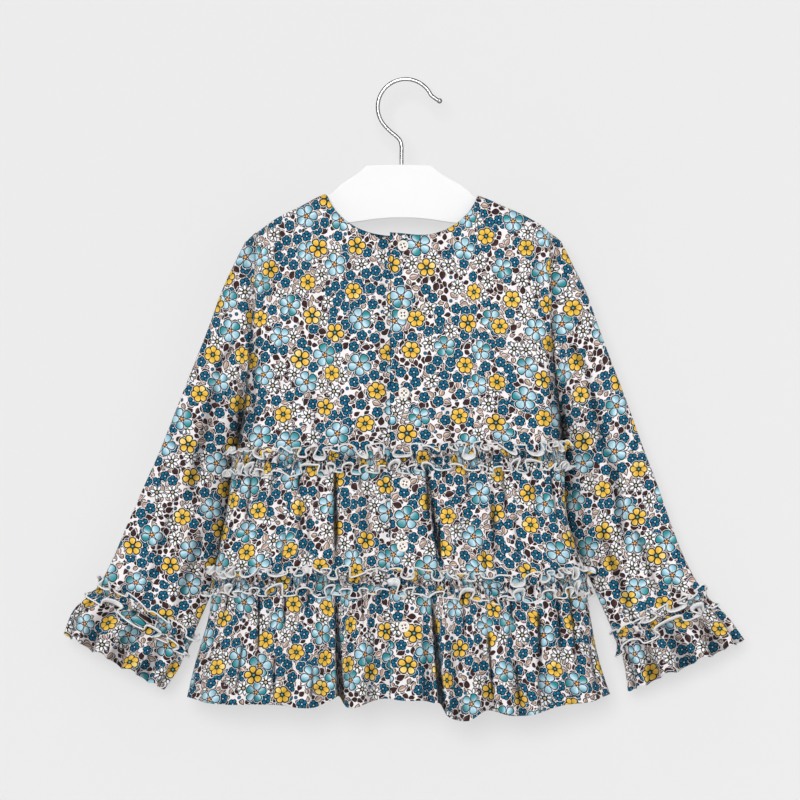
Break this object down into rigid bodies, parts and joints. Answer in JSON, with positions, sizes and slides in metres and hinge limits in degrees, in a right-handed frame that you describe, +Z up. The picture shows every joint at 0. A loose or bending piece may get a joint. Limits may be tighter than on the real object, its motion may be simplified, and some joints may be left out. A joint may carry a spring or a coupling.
{
  "type": "tiered child's blouse on a hanger",
  "caption": "Long-sleeved child's blouse with a buttoned back, two gathered tiers, ruffled seams and flounced cuffs, hanging on a flat white hanger with a wire hook.",
  "frame": {"origin": "inside top of the hanger's hook, above its stem, where a rail carries it", "axes": "+X to the right as the buttoned back is looked at, +Y from the buttoned back to the front, +Z up"},
  "size_m": [0.6787, 0.0791, 0.6416],
  "materials": {
    "print_cloth": "soft matt viscose with a dense flower print",
    "frill_cloth": "the same cloth with overlocked pale edges",
    "button_resin": "polished cream resin",
    "hanger_plastic": "satin white moulding",
    "hook_wire": "bright nickel wire"
  },
  "bodies": {
    "root": {"bodice_back_left": "print_cloth", "bodice_back_right": "print_cloth", "bodice_front": "print_cloth", "tier2_back_left": "print_cloth", "tier2_back_right": "print_cloth", "tier2_front": "print_cloth", "tier3_back_left": "print_cloth", "tier3_back_right": "print_cloth", "tier3_front": "print_cloth", "sleeve_left": "print_cloth", "sleeve_right": "print_cloth", "cuff_flounce_left": "print_cloth", "cuff_flounce_right": "print_cloth", "ruffle_upper": "frill_cloth", "ruffle_lower": "frill_cloth", "sleeve_ruffle_left": "frill_cloth", "sleeve_ruffle_right": "frill_cloth", "button_1": "button_resin", "button_2": "button_resin", "button_3": "button_resin", "button_4": "button_resin", "button_5": "button_resin", "button_6": "button_resin", "hanger_body": "hanger_plastic", "hanger_hook": "hook_wire"}
  },
  "joints": []
}
